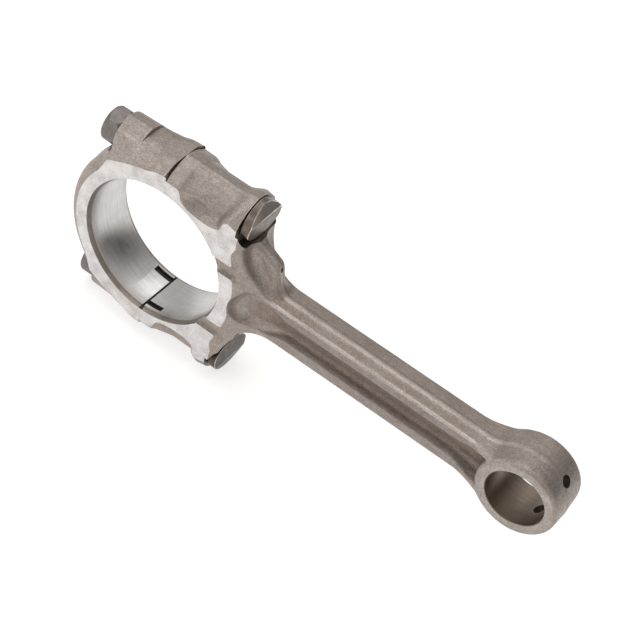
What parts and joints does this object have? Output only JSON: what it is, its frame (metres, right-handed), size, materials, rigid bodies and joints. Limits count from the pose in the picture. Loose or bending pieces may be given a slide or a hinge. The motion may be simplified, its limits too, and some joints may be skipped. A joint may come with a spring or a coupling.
{
  "type": "connecting rod",
  "caption": "Forged I-beam connecting rod with a bolted bearing cap, D-headed rod bolts with hexagon nuts, and a plain bore for a pressed piston pin.",
  "frame": {"origin": "centre of the big-end bore, half-way between the ground side faces, in the joint plane of rod and cap", "axes": "+X along the beam from the big end to the small end, +Y along both bores from the front side face to the back one, +Z square to both, towards the upper bolt"},
  "size_m": [0.2042, 0.022, 0.0846],
  "materials": {
    "forged_steel": "shot-blasted as forged, with ground side faces and honed bores",
    "cap_steel": "shot-blasted as forged, with ground side faces and honed bore",
    "bolt_steel": "dark, phosphated and oiled",
    "nut_steel": "dark satin, phosphated"
  },
  "bodies": {
    "rod": {"rod_forging": "forged_steel", "upper_bolt": "bolt_steel", "lower_bolt": "bolt_steel"},
    "cap": {"bearing_cap": "cap_steel"},
    "upper_nut": {"upper_nut": "nut_steel"},
    "lower_nut": {"lower_nut": "nut_steel"}
  },
  "joints": [
    {"name": "cap_slide", "type": "slide", "parent": "rod", "child": "cap", "axis": [-1, 0, 0], "range_m": [0, 0.0065]},
    {"name": "upper_nut_spin", "type": "hinge", "parent": "cap", "child": "upper_nut", "pos_m": [-0.0285, 0, 0.0329], "axis": [-1, 0, 0], "range_deg": [0, 2340]},
    {"name": "lower_nut_spin", "type": "hinge", "parent": "cap", "child": "lower_nut", "pos_m": [-0.0285, 0, -0.0329], "axis": [-1, 0, 0], "range_deg": [0, 2340]}
  ],
  "couplings": [
    {"joint": "upper_nut_spin", "follows": "cap_slide", "rad_per_m": 6283.2},
    {"joint": "lower_nut_spin", "follows": "cap_slide", "rad_per_m": 6283.2}
  ]
}
